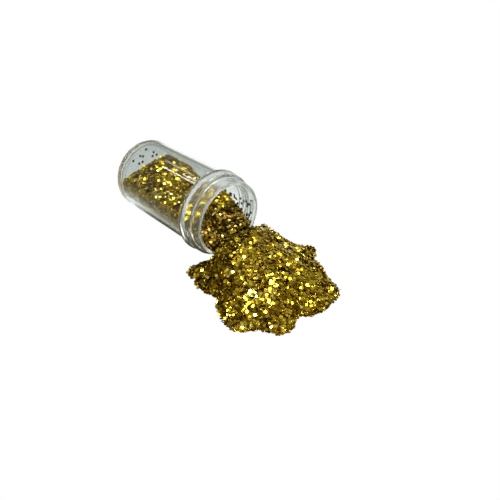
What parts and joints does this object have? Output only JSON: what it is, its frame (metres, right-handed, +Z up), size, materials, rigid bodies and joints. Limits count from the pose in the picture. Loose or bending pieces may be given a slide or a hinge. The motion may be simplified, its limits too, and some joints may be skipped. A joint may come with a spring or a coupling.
{
  "type": "sample vial with spilled gold flakes",
  "caption": "Clear screw-neck sample vial lying open on its side, part filled with gold glitter flakes that run out over the lip into a low heap.",
  "frame": {"origin": "middle of the part's box, on the surface that the vial and the heap lie on", "axes": "+Z up, +X along the vial from its base to its mouth"},
  "size_m": [0.0796, 0.0392, 0.026],
  "materials": {
    "clear_plastic": "clear, polished, moulded polystyrene",
    "gold_flakes": "gold metallised film, cut into small hexagonal flakes"
  },
  "bodies": {
    "root": {"vial_body": "clear_plastic", "glitter_fill": "gold_flakes", "glitter_tongue": "gold_flakes", "glitter_heap": "gold_flakes", "spill_near": "gold_flakes", "spill_far": "gold_flakes", "loose_flakes_base": "gold_flakes", "loose_flakes_neck": "gold_flakes"}
  },
  "joints": []
}
